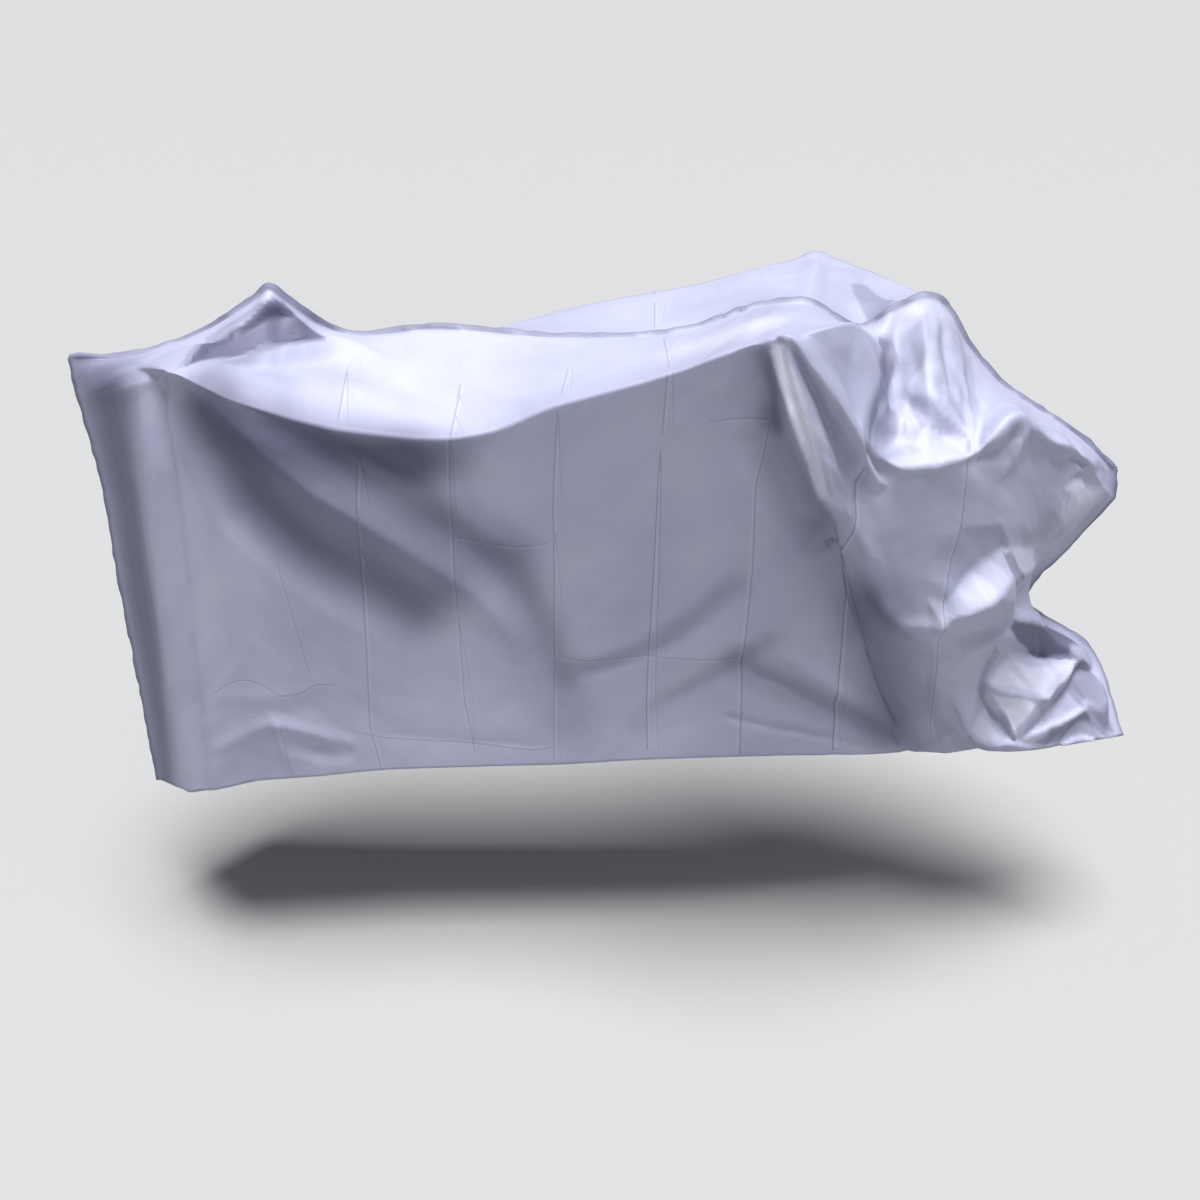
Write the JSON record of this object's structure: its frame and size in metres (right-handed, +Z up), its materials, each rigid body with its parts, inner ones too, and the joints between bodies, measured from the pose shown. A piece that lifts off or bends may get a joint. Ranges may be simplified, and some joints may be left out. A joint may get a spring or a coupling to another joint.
{
  "type": "bicycle cover",
  "caption": "Loose bicycle cover of thin silver-grey film, draped over raised grips, saddle and basket, open underneath, with a welded top seam.",
  "frame": {"origin": "underside of the top seam, above the middle of the bicycle, where the bicycle holds the cover up", "axes": "+X forwards along the bicycle, +Y across it away from the near side, +Z up"},
  "size_m": [1.7769, 0.5772, 0.9207],
  "materials": {
    "near_film": "thin silver-grey film with a satin sheen, packing creases and crumples",
    "far_film": "thin silver-grey film with a satin sheen, packing creases and crumples"
  },
  "bodies": {
    "root": {"near_panel": "near_film", "far_panel": "far_film"}
  },
  "joints": []
}
